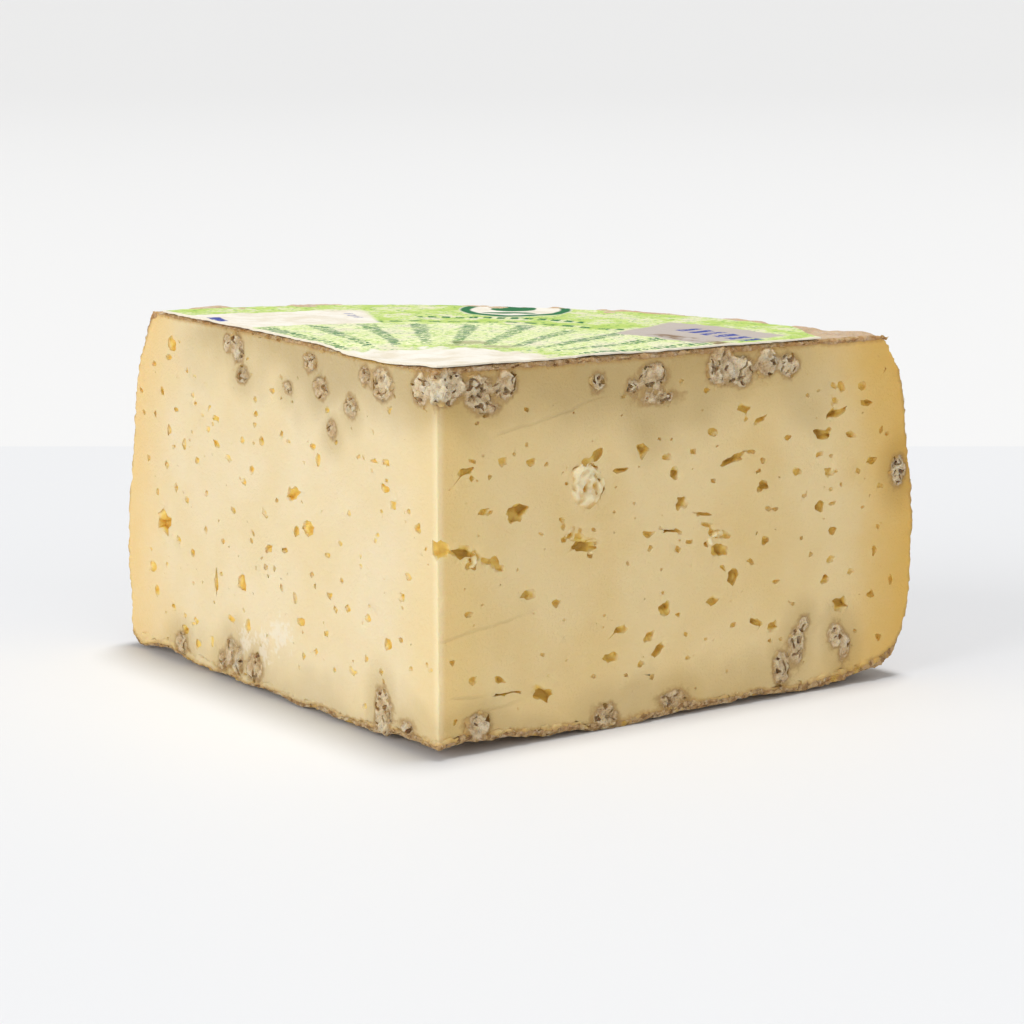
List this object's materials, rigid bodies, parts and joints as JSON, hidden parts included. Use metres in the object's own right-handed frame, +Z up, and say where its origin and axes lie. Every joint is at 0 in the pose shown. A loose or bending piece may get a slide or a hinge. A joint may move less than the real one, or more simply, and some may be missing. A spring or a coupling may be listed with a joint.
{
  "type": "quarter cheese wheel",
  "caption": "Quarter of a pressed cheese wheel with two flat cut faces, small eyes, a natural rind and the quarter of its round paper label; it stands on its flat foot.",
  "frame": {"origin": "on the table, under the middle of the piece's bounding box", "axes": "+Z up along the wheel's axis; the apex, where the two cut faces meet, points to -Y and the rind to +Y; +X runs from the left cut face's rind corner to the right one's"},
  "size_m": [0.2616, 0.185, 0.1123],
  "materials": {
    "cheese": "pale ivory paste with golden eyes, under a beige-brown mottled rind, satin where it was cut",
    "label_paper": "matt light green paper printed in dark green, with cream panels"
  },
  "bodies": {
    "root": {"cheese_quarter": "cheese", "paper_label": "label_paper"}
  },
  "joints": []
}
